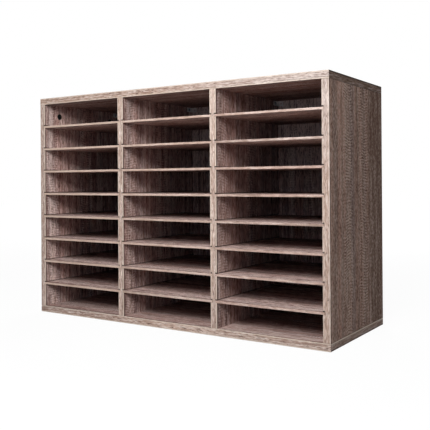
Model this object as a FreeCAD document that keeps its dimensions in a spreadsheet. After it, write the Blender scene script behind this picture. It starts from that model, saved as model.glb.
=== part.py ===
import FreeCAD, Part
import os
import re
import Sketcher

# Literature organizer: a cabinet of three columns with thin loose shelves.
# Millimetres. X runs to the right, Y to the back, Z up.
# The origin is the middle of the underside, so the front lies at -Y.

# Driving sizes

SIZES = {
    # overall
    "width": 805,
    "depth": 300,
    "height": 550,
    # boards and their edging
    "board": 16,
    "edging": 0.8,
    "arris": 0.5,
    # shelves and their grooves
    "shelf_rows": 8,
    "shelf": 5,
    "shelf_arris": 0.6,
    "end_opening": 55.25,
    "groove_depth": 4.5,
    "shelf_slack": 0.8,
    "shelf_end_gap": 0.5,
    "shelf_back_gap": 1,
    # back panel
    "back_panel": 3,
    "back_inset": 8,
    "back_groove": 6,
    "back_slack": 0.2,
    "back_edge_gap": 1,
    # where the fastenings lie, from the front or rear edge
    "cam_inset": 52,
    "dowel_inset": 84,
    # cam locks
    "cam_drop": 28,
    "cam_diameter": 15,
    "cam_length": 12,
    "cam_gap": 0.2,
    "cam_sink": 0.2,
    "cam_end_gap": 0.5,
    "cam_hollow_gap": 0.5,
    "cam_recess": 1.6,
    "cam_recess_reach": 4,
    "cam_recess_depth": 2,
    # cam bolts
    "bolt_thread": 6,
    "bolt_thread_length": 10.5,
    "bolt_shank": 6.6,
    "bolt_neck": 4.4,
    "bolt_neck_length": 4.5,
    "bolt_head": 7,
    "bolt_head_length": 3.5,
    "bolt_gap": 0.3,
    "bolt_tip_gap": 0.5,
    # wooden dowels
    "dowel_diameter": 8,
    "dowel_length": 30,
    "dowel_taper": 1.2,
    "dowel_gap": 0.15,
    "dowel_board_depth": 10,
    "dowel_end_gap": 0.8,
    # base screws
    "screw_head": 10,
    "screw_head_length": 3,
    "screw_taper_length": 1.5,
    "screw_shank": 6.8,
    "screw_length": 48,
    "screw_gap": 0.2,
    "screw_sink": 0.4,
    "screw_tip_gap": 1,
    "screw_socket": 4,
    "screw_socket_depth": 2.4,
    # angle brackets and their screws
    "bracket_height": 12,
    "bracket_side_leg": 26,
    "bracket_back_leg": 14,
    "bracket_sheet": 1.5,
    "bracket_bend": 1,
    "bracket_drop": 1,
    "bracket_hole_inset": 8,
    "wall_hole": 5.5,
    "bracket_screw_inset": 17,
    "bracket_screw_shank": 3.6,
    "bracket_screw_gap": 0.2,
    "bracket_screw_grip": 11,
    "bracket_screw_tip_gap": 0.6,
    "bracket_screw_head": 7.4,
    "bracket_screw_head_height": 1.6,
    "bracket_screw_head_top": 4.6,
    "bracket_screw_slot": 1,
    "bracket_screw_slot_depth": 0.9,
}

# Sizes worked out from the driving ones

WORKED_OUT = {
    "column": "(width - 4 * board) / 3",
    "clear_height": "height - 2 * board",
    "inner_depth": "depth - back_inset - back_panel",
    "shelf_pitch": "(clear_height - 2 * end_opening - shelf) / (shelf_rows - 1)",
    "groove_height": "shelf + shelf_slack",
    "groove_overlap": "groove_depth - shelf_end_gap",
    "cam_bore": "cam_diameter + 2 * cam_gap",
    "cam_bore_depth": "cam_sink + cam_length + cam_end_gap",
    "cam_hollow": "bolt_head + 2 * cam_hollow_gap",
    "cam_front_wall": "board / 2 - cam_sink - cam_hollow / 2",
    "cam_hollow_floor": "bolt_head_length / 2 + cam_hollow_gap",
    "bolt_drop": "cam_drop + bolt_head_length / 2",
    "bolt_hole": "bolt_shank + 2 * bolt_gap",
    "bolt_thread_hole": "bolt_thread + 2 * bolt_gap",
    "bolt_thread_hole_depth": "bolt_thread_length + bolt_tip_gap",
    "dowel_hole": "dowel_diameter + 2 * dowel_gap",
    "dowel_board_hole": "dowel_board_depth + dowel_end_gap",
    "dowel_upright_hole": "dowel_length - dowel_board_depth + dowel_end_gap",
    "screw_hole": "screw_shank + 2 * screw_gap",
    "screw_head_hole": "screw_head + 2 * screw_gap",
    "screw_head_hole_depth": "screw_sink + screw_head_length + screw_taper_length",
    "screw_upright_hole": "screw_sink + screw_length - board + screw_tip_gap",
    "bracket_screw_hole": "bracket_screw_shank + 2 * bracket_screw_gap",
    "bracket_screw_hole_depth": "bracket_screw_grip + bracket_screw_tip_gap",
    "bracket_level": "bracket_drop + bracket_height / 2",
}

COLUMN_NAMES = ("left", "middle", "right")
UPRIGHT_COUNT = len(COLUMN_NAMES) + 1

# Below these a length or a difference of volumes counts as none
NO_LENGTH = 1e-9
NO_VOLUME = 1e-6

doc = FreeCAD.newDocument("literature_organizer")


def add_sheet():
    """Write the sizes into a sheet, each with its own alias."""
    sheet = doc.addObject("Spreadsheet::Sheet", "Sizes")
    rows = list(SIZES.items())
    rows += [(word, "=" + text) for word, text in WORKED_OUT.items()]
    for row, (word, content) in enumerate(rows, start=1):
        sheet.set(f"A{row}", word)
        sheet.set(f"B{row}", str(content))
        sheet.setAlias(f"B{row}", word)
    doc.recompute()
    return sheet


sheet = add_sheet()


def formula(text):
    """Give each size's word in a formula the name of the sheet."""
    return re.sub(r"[a-z_]+", lambda found: "Sizes." + found.group(0), text)


def value_of(text):
    """Return what a formula comes to with the sheet's present sizes."""
    return float(sheet.evalExpression(formula(text)))


def bind(item, **formulas):
    """Bind properties of an object to formulas."""
    for name, text in formulas.items():
        item.setExpression(name, formula(text))


def place(item, across="0", back="0", up="0"):
    """Put an object at a place that follows the sizes."""
    item.setExpression("Placement.Base.x", formula(across))
    item.setExpression("Placement.Base.y", formula(back))
    item.setExpression("Placement.Base.z", formula(up))


def turn(item, axis, angle):
    """Turn an object about one of its own axes, by degrees."""
    item.Placement = FreeCAD.Placement(item.Placement.Base, FreeCAD.Rotation(axis, angle))


X_AXIS = FreeCAD.Vector(1, 0, 0)
Y_AXIS = FreeCAD.Vector(0, 1, 0)
Z_AXIS = FreeCAD.Vector(0, 0, 1)


# Sketches and the features made from them

def new_body(label):
    """Start a body whose label names the piece."""
    body = doc.addObject("PartDesign::Body", label)
    body.Label = label
    return body


def origin_feature(body, role):
    """Return an origin plane or axis of a body."""
    return next(item for item in body.Origin.OriginFeatures if item.Role == role)


def new_sketch(body, name, plane, offset="0"):
    """Start a sketch on a body's own origin plane, moved along its normal."""
    sketch = body.newObject("Sketcher::SketchObject", f"{body.Name}_{name}")
    sketch.AttachmentSupport = [(origin_feature(body, plane), "")]
    sketch.MapMode = "FlatFace"
    sketch.setExpression("AttachmentOffset.Base.z", formula(offset))
    return sketch


def name_constraint(sketch, index, name, text):
    """Name a constraint of a sketch and bind it to a formula."""
    sketch.renameConstraint(index, name)
    sketch.setExpression("Constraints." + name, formula(text))


def pin_point(sketch, line, end, name, across, up):
    """Hold a point of a sketch at two formulas from its origin."""
    for kind, letter, text, axis in (("DistanceX", "x", across, -2), ("DistanceY", "y", up, -1)):
        value = value_of(text)
        if abs(value) < NO_LENGTH:
            sketch.addConstraint(Sketcher.Constraint("PointOnObject", line, end, axis))
        elif value > 0:
            index = sketch.addConstraint(Sketcher.Constraint(kind, -1, 1, line, end, value))
            name_constraint(sketch, index, name + letter, text)
        else:
            index = sketch.addConstraint(Sketcher.Constraint(kind, line, end, -1, 1, -value))
            name_constraint(sketch, index, name + letter, f"-({text})")


def outline(sketch, corners, rounds=()):
    """Draw a closed outline through corners given as pairs of formulas.

    A round names the corner that it starts from, its centre, its radius and the way,
    left or right, that it turns about that centre on its way to the next corner.
    """
    points = [FreeCAD.Vector(value_of(across), value_of(up), 0) for across, up in corners]
    rounds = {start: (centre, radius, turned) for start, centre, radius, turned in rounds}
    for start, point in enumerate(points):
        following = points[(start + 1) % len(points)]
        if start in rounds:
            (across, up), radius, turned = rounds[start]
            centre = FreeCAD.Vector(value_of(across), value_of(up), 0)
            begin, finish = (point, following) if turned == "left" else (following, point)
            sides = [spot - centre for spot in (begin, finish)]
            first, last = (X_AXIS.getAngle(side) * (1 if side.y >= 0 else -1) for side in sides)
            circle = Part.Circle(centre, Z_AXIS, value_of(radius))
            sketch.addGeometry(Part.ArcOfCircle(circle, first, last))
        else:
            sketch.addGeometry(Part.LineSegment(point, following))
    count = len(points)

    def ends(index):
        backwards = index in rounds and rounds[index][2] == "right"
        return (2, 1) if backwards else (1, 2)

    for start in range(count):
        following = (start + 1) % count
        joint = Sketcher.Constraint("Coincident", start, ends(start)[1], following, ends(following)[0])
        sketch.addConstraint(joint)
    for start, (across, up) in enumerate(corners):
        pin_point(sketch, start, ends(start)[0], f"corner{start}", across, up)
    for start, (_, radius, _) in rounds.items():
        index = sketch.addConstraint(Sketcher.Constraint("Radius", start, value_of(radius)))
        name_constraint(sketch, index, f"radius{start}", radius)


def rectangle(sketch, left, low, right, high):
    """Draw an upright rectangle between four formulas."""
    outline(sketch, [(left, low), (right, low), (right, high), (left, high)])


def circles(sketch, centres, diameter):
    """Draw equal circles about centres given as pairs of formulas."""
    for number, (across, up) in enumerate(centres):
        centre = FreeCAD.Vector(value_of(across), value_of(up), 0)
        sketch.addGeometry(Part.Circle(centre, Z_AXIS, value_of(diameter) / 2))
        pin_point(sketch, number, 3, f"centre{number}", across, up)
        index = sketch.addConstraint(Sketcher.Constraint("Diameter", number, value_of(diameter)))
        name_constraint(sketch, index, f"diameter{number}", diameter)


def pad(body, sketch, length, backwards=False):
    """Raise a sketch into a solid along its normal."""
    feature = body.newObject("PartDesign::Pad", sketch.Name + "_pad")
    feature.Profile = sketch
    feature.Reversed = backwards
    bind(feature, Length=length)
    body.Tip = feature
    return feature


def pocket(body, sketch, length, along_normal=False):
    """Cut a sketch into the solid, against its normal unless told otherwise."""
    feature = body.newObject("PartDesign::Pocket", sketch.Name + "_cut")
    feature.Profile = sketch
    feature.Reversed = along_normal
    bind(feature, Length=length)
    body.Tip = feature
    return feature


def repeat_up(body, cuts):
    """Repeat cuts up the body, one for each shelf row."""
    pattern = body.newObject("PartDesign::LinearPattern", body.Name + "_rows")
    pattern.Originals = cuts
    pattern.Direction = (origin_feature(body, "Z_Axis"), [""])
    pattern.Mode = "Spacing"
    bind(pattern, Offset="shelf_pitch", Occurrences="shelf_rows")
    body.Tip = pattern


def group(label, items):
    """Gather separate solids into one object."""
    gathered = doc.addObject("Part::Compound", label)
    gathered.Label = label
    gathered.Links = items
    return gathered


def copy_of(item, name):
    """Return a linked copy of an object, with a place of its own."""
    link = doc.addObject("App::Link", name)
    link.LinkedObject = item
    link.LinkTransform = False
    return link


# The lines that the pieces share

FRONT = "-depth / 2"
LEFT = "-width / 2"
TOP_UNDERSIDE = "board + clear_height"
MIDDLE_OF_BOARD = "board / 2"
CAM_LINES = ("cam_inset", "depth - cam_inset")
DOWEL_LINES = ("dowel_inset", "depth - dowel_inset")


def upright_edge(number):
    """Return how far the left face of an upright is from the cabinet's left face."""
    return f"{number} * (column + board)"


def spots_over_uprights(lines):
    """Return the fastening spots over the four uprights, on the given depth lines."""
    return [(f"{upright_edge(number)} + board / 2", line)
            for number in range(UPRIGHT_COUNT) for line in lines]


# Boards

def lying_board(label, level):
    """Make the core of the top or bottom board, between its edging strips."""
    body = new_body(label)
    sketch = new_sketch(body, "outline", "XY_Plane")
    rectangle(sketch, "edging", "edging", "width - edging", "depth")
    pad(body, sketch, "board")
    place(body, LEFT, FRONT, level)
    return body


def cut_round_holes(body, name, spots, diameter, depth, from_top):
    """Drill round holes into a lying board, down from its top or up from its underside."""
    sketch = new_sketch(body, name, "XY_Plane", "board" if from_top else "0")
    circles(sketch, spots, diameter)
    pocket(body, sketch, depth, along_normal=not from_top)


def cut_back_groove(body, from_top):
    """Cut the stopped groove that holds an edge of the back panel."""
    sketch = new_sketch(body, "back_groove", "XY_Plane", "board" if from_top else "0")
    rectangle(sketch, "board - back_groove", "inner_depth",
              "width - board + back_groove", "inner_depth + back_panel + back_slack")
    pocket(body, sketch, "back_groove", along_normal=not from_top)


def make_top_board():
    """Make the top board, which is bolted down onto the uprights by their cams."""
    body = lying_board("top_board", TOP_UNDERSIDE)
    cut_back_groove(body, from_top=False)
    bolts = spots_over_uprights(CAM_LINES)
    cut_round_holes(body, "bolt_holes", bolts, "bolt_thread_hole", "bolt_thread_hole_depth", False)
    dowels = spots_over_uprights(DOWEL_LINES)
    cut_round_holes(body, "dowel_holes", dowels, "dowel_hole", "dowel_board_hole", False)
    return body


def make_bottom_board():
    """Make the bottom board, which is screwed to the uprights from below."""
    body = lying_board("bottom_board", "0")
    cut_back_groove(body, from_top=True)
    dowels = spots_over_uprights(DOWEL_LINES)
    cut_round_holes(body, "dowel_holes", dowels, "dowel_hole", "dowel_board_hole", True)
    screws = spots_over_uprights(CAM_LINES)
    cut_round_holes(body, "screw_holes", screws, "screw_hole", "board", True)
    cut_round_holes(body, "head_holes", screws, "screw_head_hole", "screw_head_hole_depth", False)
    return body


# Uprights

def cut_shelf_grooves(body, reach, faces):
    """Cut the shelf grooves into the named faces of an upright, open at the front."""
    cuts = []
    for face in faces:
        on_right = face == "right"
        sketch = new_sketch(body, f"{face}_groove", "YZ_Plane", "board" if on_right else "0")
        rectangle(sketch, "0", "end_opening", reach, "end_opening + groove_height")
        cuts.append(pocket(body, sketch, "groove_depth", along_normal=not on_right))
    repeat_up(body, cuts)


def make_upright(label, number, reach, grooved_faces, fitted_face):
    """Make the core of a side or divider.

    number counts the uprights from the left, reach is the depth of the board, and
    fitted_face is the face with the cam bores.
    """
    body = new_body(label)
    sketch = new_sketch(body, "outline", "YZ_Plane")
    rectangle(sketch, "edging", "0", reach, "clear_height")
    pad(body, sketch, "board")
    cut_shelf_grooves(body, reach, grooved_faces)

    on_right = fitted_face == "right"
    sketch = new_sketch(body, "cam_bores", "YZ_Plane", "board" if on_right else "0")
    circles(sketch, [(line, "clear_height - cam_drop") for line in CAM_LINES], "cam_bore")
    pocket(body, sketch, "cam_bore_depth", along_normal=not on_right)

    bolt_spots = [(MIDDLE_OF_BOARD, line) for line in CAM_LINES]
    dowel_spots = [(MIDDLE_OF_BOARD, line) for line in DOWEL_LINES]
    for name, spots, level, diameter, depth in (
            ("bolt_holes", bolt_spots, "clear_height", "bolt_hole", "cam_drop"),
            ("upper_dowel_holes", dowel_spots, "clear_height", "dowel_hole", "dowel_upright_hole"),
            ("lower_dowel_holes", dowel_spots, "0", "dowel_hole", "dowel_upright_hole"),
            ("screw_holes", bolt_spots, "0", "screw_hole", "screw_upright_hole")):
        sketch = new_sketch(body, name, "XY_Plane", level)
        circles(sketch, spots, diameter)
        pocket(body, sketch, depth, along_normal=level == "0")
    place(body, f"{LEFT} + {upright_edge(number)}", FRONT, "board")
    return body


def cut_bracket_screw_hole(body, face):
    """Drill the hole for the screw that holds an angle bracket to an upright."""
    on_right = face == "right"
    sketch = new_sketch(body, "bracket_screw_hole", "YZ_Plane", "board" if on_right else "0")
    spot = ("inner_depth - bracket_screw_inset", "clear_height - bracket_level")
    circles(sketch, [spot], "bracket_screw_hole")
    pocket(body, sketch, "bracket_screw_hole_depth", along_normal=not on_right)


def cut_side_groove(body, face):
    """Cut the groove in a side's inner face that holds an edge of the back panel."""
    on_right = face == "right"
    sketch = new_sketch(body, "back_groove", "YZ_Plane", "board" if on_right else "0")
    rectangle(sketch, "inner_depth", "0", "inner_depth + back_panel + back_slack", "clear_height")
    pocket(body, sketch, "back_groove", along_normal=not on_right)


def make_side(label, number, inner_face):
    """Make one of the two sides, which reach to the back of the cabinet."""
    body = make_upright(label, number, "depth", [inner_face], inner_face)
    cut_side_groove(body, inner_face)
    cut_bracket_screw_hole(body, inner_face)
    return body


def make_divider(label, number):
    """Make one of the two dividers, which stop at the back panel."""
    body = make_upright(label, number, "inner_depth", ["left", "right"], "left")
    cut_bracket_screw_hole(body, "right")
    return body


# Edging strips

def strip_outline(sketch, across_first, length):
    """Draw a strip's section: its show face lies on the low side of its depth.

    across_first says which way the sketch's first axis runs: along the section's
    width, or along its depth.
    """
    corners = [("0", "edging"), ("0", "arris"), ("arris", "0"), (f"{length} - arris", "0"),
               (length, "arris"), (length, "edging")]
    first = ("arris", "arris")
    second = (f"{length} - arris", "arris")
    turned = "left"
    if not across_first:
        corners = [(up, across) for across, up in corners]
        second = (second[1], second[0])
        turned = "right"
    outline(sketch, corners, [(1, first, "arris", turned), (3, second, "arris", turned)])


def upright_strip(label, number, grooved_faces):
    """Make the edging of an upright's front edge, notched where the grooves run out."""
    body = new_body(label)
    sketch = new_sketch(body, "section", "XY_Plane")
    strip_outline(sketch, True, "board")
    pad(body, sketch, "clear_height")
    cut_shelf_grooves(body, "edging", grooved_faces)
    place(body, f"{LEFT} + {upright_edge(number)}", FRONT, "board")
    return body


def lying_strip(label, length):
    """Make a strip of edging that lies along X, with its show face at the front."""
    body = new_body(label)
    sketch = new_sketch(body, "section", "YZ_Plane")
    strip_outline(sketch, False, "board")
    pad(body, sketch, length)
    return body


def board_strips(label, level):
    """Make the three strips of a lying board: its front edge and its two ends."""
    front = lying_strip(label + "_front", "width")
    place(front, LEFT, FRONT, level)
    left = lying_strip(label + "_left", "depth - edging")
    turn(left, Z_AXIS, -90)
    place(left, LEFT, "depth / 2", level)
    right = lying_strip(label + "_right", "depth - edging")
    turn(right, Z_AXIS, 90)
    place(right, "width / 2", "edging - depth / 2", level)
    return group(label, [front, left, right])


# Back panel

def make_back_panel():
    """Make the back panel, held in grooves all round; wall screws are driven through it."""
    body = new_body("back_panel")
    sketch = new_sketch(body, "outline", "XZ_Plane")
    rectangle(sketch, "0", "0", "width - 2 * board + 2 * (back_groove - back_edge_gap)",
              "clear_height + 2 * (back_groove - back_edge_gap)")
    pad(body, sketch, "back_panel", backwards=True)
    place(body, f"{LEFT} + board - back_groove + back_edge_gap", f"{FRONT} + inner_depth",
          "board - back_groove + back_edge_gap")
    return body


# Shelves

def make_shelf(label, column, row):
    """Make a shelf; rows count from the top."""
    body = new_body(label)
    sketch = new_sketch(body, "section", "YZ_Plane")
    depth = "inner_depth - shelf_back_gap"
    corners = [(depth, "0"), (depth, "shelf"), ("shelf_arris", "shelf"),
               ("0", "shelf - shelf_arris"), ("0", "shelf_arris"), ("shelf_arris", "0")]
    upper = (2, ("shelf_arris", "shelf - shelf_arris"), "shelf_arris", "left")
    lower = (4, ("shelf_arris", "shelf_arris"), "shelf_arris", "left")
    outline(sketch, corners, [upper, lower])
    pad(body, sketch, "column + 2 * groove_overlap")
    place(body, f"{LEFT} + {upright_edge(column)} + board - groove_overlap", FRONT,
          f"board + end_opening + (shelf_rows - {row}) * shelf_pitch")
    return body


# Fastenings

def turned_piece(label, lengths):
    """Stack cylinders and cones up the Z axis; each has a lower and upper diameter and a length."""
    slices = []
    level = "0"
    for number, (lower, upper, length) in enumerate(lengths):
        kind = "Part::Cylinder" if lower == upper else "Part::Cone"
        slice_ = doc.addObject(kind, f"{label}_slice{number}")
        if lower == upper:
            bind(slice_, Radius=f"({lower}) / 2", Height=length)
        else:
            bind(slice_, Radius1=f"({lower}) / 2", Radius2=f"({upper}) / 2", Height=length)
        place(slice_, up=level)
        slices.append(slice_)
        level = f"{level} + {length}"
    whole = doc.addObject("Part::MultiFuse", label)
    whole.Label = label
    whole.Shapes = slices
    return whole


def copies_over_uprights(label, master, lines, levels):
    """Group copies of a fastening over the uprights, upright or turned over.

    levels gives pairs of a height and whether the copy there is turned over.
    """
    copies = []
    for number, (across, back) in enumerate(spots_over_uprights(lines)):
        for step, (level, turned_over) in enumerate(levels):
            copy = copy_of(master, f"{label}_{number}_{step}")
            if turned_over:
                turn(copy, X_AXIS, 180)
            place(copy, f"{LEFT} + {across}", f"{FRONT} + {back}", level)
            copies.append(copy)
    return group(label, copies)


def make_cam_bolts():
    """Make the bolts that hang from the top board into the cams."""
    shank = "bolt_drop - bolt_head_length - bolt_neck_length"
    bolt = turned_piece("cam_bolt", [
        ("bolt_head", "bolt_head", "bolt_head_length"),
        ("bolt_neck", "bolt_neck", "bolt_neck_length"),
        ("bolt_shank", "bolt_shank", shank),
        ("bolt_thread", "bolt_thread", "bolt_thread_length")])
    return copies_over_uprights("cam_bolts", bolt, CAM_LINES, [(f"{TOP_UNDERSIDE} - bolt_drop", False)])


def make_dowels():
    """Make the wooden dowels at both ends of the uprights."""
    tip = "dowel_diameter - dowel_taper"
    dowel = turned_piece("wooden_dowel", [
        (tip, "dowel_diameter", "dowel_taper"),
        ("dowel_diameter", "dowel_diameter", "dowel_length - 2 * dowel_taper"),
        ("dowel_diameter", tip, "dowel_taper")])
    upper = f"{TOP_UNDERSIDE} + dowel_board_depth - dowel_length"
    lower = "board - dowel_board_depth"
    return copies_over_uprights("wooden_dowels", dowel, DOWEL_LINES, [(upper, False), (lower, False)])


def make_base_screws():
    """Make the screws that hold the bottom board to the uprights, heads down."""
    shank = "screw_length - screw_head_length - screw_taper_length"
    blank = turned_piece("base_screw_blank", [
        ("screw_head", "screw_head", "screw_head_length"),
        ("screw_head", "screw_shank", "screw_taper_length"),
        ("screw_shank", "screw_shank", shank)])
    socket = doc.addObject("Part::Prism", "base_screw_socket")
    socket.Polygon = 6
    bind(socket, Circumradius="screw_socket / 3 ^ 0.5", Height="screw_socket_depth")
    screw = doc.addObject("Part::Cut", "base_screw")
    screw.Base = blank
    screw.Tool = socket
    return copies_over_uprights("base_screws", screw, CAM_LINES, [("screw_sink", False)])


def make_cam_locks():
    """Make the cams: discs that face out of their bores, hollow towards the bolt's head.

    Each lies along X with its face at the origin and its hollow open at the top.
    """
    cam = new_body("cam_lock")
    sketch = new_sketch(cam, "disc", "YZ_Plane")
    circles(sketch, [("0", "0")], "cam_diameter")
    pad(cam, sketch, "cam_length")
    sketch = new_sketch(cam, "hollow", "XZ_Plane", "cam_hollow / 2")
    rectangle(sketch, "cam_front_wall", "-cam_hollow_floor", "cam_length", "cam_diameter / 2")
    pocket(cam, sketch, "cam_hollow")
    for name, half_across, half_up in (("level_slot", "cam_recess_reach", "cam_recess / 2"),
                                       ("upright_slot", "cam_recess / 2", "cam_recess_reach")):
        sketch = new_sketch(cam, name, "YZ_Plane")
        rectangle(sketch, f"-({half_across})", f"-({half_up})", half_across, half_up)
        pocket(cam, sketch, "cam_recess_depth", along_normal=True)
    copies = []
    for number in range(UPRIGHT_COUNT):
        for step, line in enumerate(CAM_LINES):
            copy = copy_of(cam, f"cam_lock_{number}_{step}")
            face = f"{LEFT} + {upright_edge(number)} + cam_sink"
            if number == 0:
                turn(copy, Z_AXIS, 180)
                face = f"{LEFT} + board - cam_sink"
            place(copy, face, f"{FRONT} + {line}", f"{TOP_UNDERSIDE} - cam_drop")
            copies.append(copy)
    return group("cam_locks", copies)


# Angle brackets: one in the rear corner beside each upright, and its screw.
# Each entry is the upright's number and the face that the bracket lies on.

BRACKETS = ((0, "right"), (1, "right"), (2, "right"), (3, "left"))


def bracket_face(number, face):
    """Return how far the face that carries a bracket is from the cabinet's left face."""
    return f"{upright_edge(number)} + board" if face == "right" else upright_edge(number)


def make_wall_brackets():
    """Make the bent brackets: the corner is at the origin, a leg runs forward, the other right."""
    body = new_body("wall_bracket")
    sketch = new_sketch(body, "section", "XY_Plane")
    outer = "bracket_sheet + bracket_bend"
    corners = [("0", "-bracket_side_leg"), ("bracket_sheet", "-bracket_side_leg"),
               ("bracket_sheet", f"-({outer})"), (outer, "-bracket_sheet"),
               ("bracket_back_leg", "-bracket_sheet"), ("bracket_back_leg", "0"),
               (outer, "0"), ("0", f"-({outer})")]
    centre = (outer, f"-({outer})")
    outline(sketch, corners, [(2, centre, "bracket_bend", "right"), (6, centre, outer, "left")])
    pad(body, sketch, "bracket_height")
    sketch = new_sketch(body, "wall_hole", "XZ_Plane", "bracket_sheet")
    circles(sketch, [("bracket_hole_inset", "bracket_height / 2")], "wall_hole")
    pocket(body, sketch, "bracket_sheet")
    sketch = new_sketch(body, "screw_hole", "YZ_Plane", "bracket_sheet")
    circles(sketch, [("-bracket_screw_inset", "bracket_height / 2")], "bracket_screw_hole")
    pocket(body, sketch, "bracket_sheet")
    copies = []
    for number, face in BRACKETS:
        copy = copy_of(body, f"wall_bracket_{number}")
        level = f"{TOP_UNDERSIDE} - bracket_drop - bracket_height"
        if face == "left":
            turn(copy, Y_AXIS, 180)
            level = f"{TOP_UNDERSIDE} - bracket_drop"
        place(copy, f"{LEFT} + {bracket_face(number, face)}", f"{FRONT} + inner_depth", level)
        copies.append(copy)
    return group("wall_brackets", copies)


def make_bracket_screws():
    """Make the round-headed screws that hold the brackets to the uprights."""
    blank = turned_piece("bracket_screw_blank", [
        ("bracket_screw_shank", "bracket_screw_shank", "bracket_screw_grip + bracket_sheet"),
        ("bracket_screw_head", "bracket_screw_head_top", "bracket_screw_head_height")])
    slots = []
    for name, length, width in (("slot", "bracket_screw_head_top", "bracket_screw_slot"),
                                ("cross_slot", "bracket_screw_slot", "bracket_screw_head_top")):
        slot = doc.addObject("Part::Box", "bracket_screw_" + name)
        bind(slot, Length=length, Width=width, Height="bracket_screw_slot_depth")
        place(slot, f"-({length}) / 2", f"-({width}) / 2",
              "bracket_screw_grip + bracket_sheet + bracket_screw_head_height"
              " - bracket_screw_slot_depth")
        slots.append(slot)
    cross = doc.addObject("Part::MultiFuse", "bracket_screw_cross")
    cross.Shapes = slots
    screw = doc.addObject("Part::Cut", "bracket_screw")
    screw.Base = blank
    screw.Tool = cross
    copies = []
    for number, face in BRACKETS:
        copy = copy_of(screw, f"bracket_screw_{number}")
        side = 1 if face == "right" else -1
        turn(copy, Y_AXIS, 90 * side)
        inward = "-" if face == "right" else "+"
        place(copy, f"{LEFT} + {bracket_face(number, face)} {inward} bracket_screw_grip",
              f"{FRONT} + inner_depth - bracket_screw_inset",
              f"{TOP_UNDERSIDE} - bracket_level")
        copies.append(copy)
    return group("bracket_screws", copies)


# The whole cabinet

def make_parts():
    """Make every piece and return the objects that are written out."""
    made = [make_top_board(), make_bottom_board()]
    made.append(make_side("left_side", 0, "right"))
    made.append(make_divider("left_divider", 1))
    made.append(make_divider("right_divider", 2))
    made.append(make_side("right_side", 3, "left"))
    made.append(make_back_panel())
    made.append(board_strips("top_board_edging", TOP_UNDERSIDE))
    made.append(board_strips("bottom_board_edging", "0"))
    made.append(upright_strip("left_side_edging", 0, ["right"]))
    made.append(upright_strip("left_divider_edging", 1, ["left", "right"]))
    made.append(upright_strip("right_divider_edging", 2, ["left", "right"]))
    made.append(upright_strip("right_side_edging", 3, ["left"]))
    for column, name in enumerate(COLUMN_NAMES):
        for row in range(1, SIZES["shelf_rows"] + 1):
            made.append(make_shelf(f"{name}_shelf_{row}", column, row))
    made += [make_cam_locks(), make_cam_bolts(), make_dowels(), make_base_screws()]
    made += [make_wall_brackets(), make_bracket_screws()]
    return made


def check_model(parts):
    """Stop if a feature failed, a cut removed nothing or a piece isn't sound."""
    for item in doc.Objects:
        if {"Invalid", "Error"} & set(item.State):
            raise RuntimeError(f"{item.Name} failed: {item.State}")
        if item.TypeId == "PartDesign::Pocket":
            if item.Shape.Volume >= item.BaseFeature.Shape.Volume - NO_VOLUME:
                raise RuntimeError(f"{item.Name} cuts nothing")
    for part in parts:
        if part.Shape.isNull() or not part.Shape.isValid():
            raise RuntimeError(f"{part.Label} isn't a sound shape")


def write_parts(parts):
    """Write each piece to its own file."""
    os.makedirs("parts", exist_ok=True)
    for part in parts:
        part.Shape.exportStep(f"parts/{part.Label}.step")
        print(f"{part.Label}: {len(part.Shape.Solids)} solids, {part.Shape.Volume:.1f} mm3")


parts = make_parts()
doc.recompute()
check_model(parts)
write_parts(parts)
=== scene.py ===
"""Looks, light and camera for a pigeonhole literature organizer of oak-printed board."""

import logging
import math
from dataclasses import dataclass, field, replace
from enum import Enum

import bmesh
import bpy
from mathutils import Matrix, Vector


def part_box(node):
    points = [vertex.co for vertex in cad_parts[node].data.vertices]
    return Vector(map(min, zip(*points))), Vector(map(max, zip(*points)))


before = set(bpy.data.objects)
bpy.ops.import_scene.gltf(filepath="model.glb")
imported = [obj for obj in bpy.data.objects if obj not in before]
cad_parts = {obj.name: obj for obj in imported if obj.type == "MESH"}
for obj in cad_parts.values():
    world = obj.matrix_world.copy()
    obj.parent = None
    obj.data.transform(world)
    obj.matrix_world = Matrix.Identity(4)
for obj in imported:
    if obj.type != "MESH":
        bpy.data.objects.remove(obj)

MM = 0.001

# Numbers of the Mix node's sockets when it mixes colours
MIX_SHARE, COLOUR_A, COLOUR_B, COLOUR_OUT = 0, 6, 7, 2
# Numbers of the Map Range node's sockets
VALUE, FROM_LOW, FROM_HIGH, TO_LOW, TO_HIGH = range(5)

# The sRGB curve: a straight run near black, then a power
SRGB_KNEE, SRGB_SLOPE, SRGB_LIFT, SRGB_POWER = 0.04045, 12.92, 0.055, 2.4

# How far a seed moves a pattern along, across and through its noise
SEED_MOVE = (1.0, 1.7, 0.6)
# Steps from a print's seed to the seeds of its parts, and from its ripples' seed to theirs
LAYER_STEP, RIPPLE_STEP, PORE_STEP, END_STEP = 2, 6, 9, 20
JITTER_STEP, LOOSE_STEP, PATCH_STEP = 1, 3, 5

# The painted shadow in the joints that the side light grazes, and the pale of an arris: its trimmed edge,
# with a painted highlight where it catches the light
JOINT_SHADOW = "#4A3A34"
PALE_ARRIS_AND_HIGHLIGHT = "#DCCCBC"

log = logging.getLogger("organizer")

Socket = bpy.types.NodeSocket
Tree = bpy.types.NodeTree
Material = bpy.types.Material
Rows = tuple[tuple, ...]

NODES: dict[str, bpy.types.Object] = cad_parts


def linear(code: str) -> tuple[float, float, float, float]:
    """Turn an sRGB hex colour into the linear values that a shader takes.

    Args:
        code: six hex digits after a hash sign.

    Returns:
        Red, green, blue and an alpha of 1.
    """
    shares = [int(code[start:start + 2], 16) / 255 for start in (1, 3, 5)]
    red, green, blue = (
        share / SRGB_SLOPE if share <= SRGB_KNEE else ((share + SRGB_LIFT) / (1 + SRGB_LIFT)) ** SRGB_POWER
        for share in shares
    )
    return (red, green, blue, 1.0)


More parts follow.
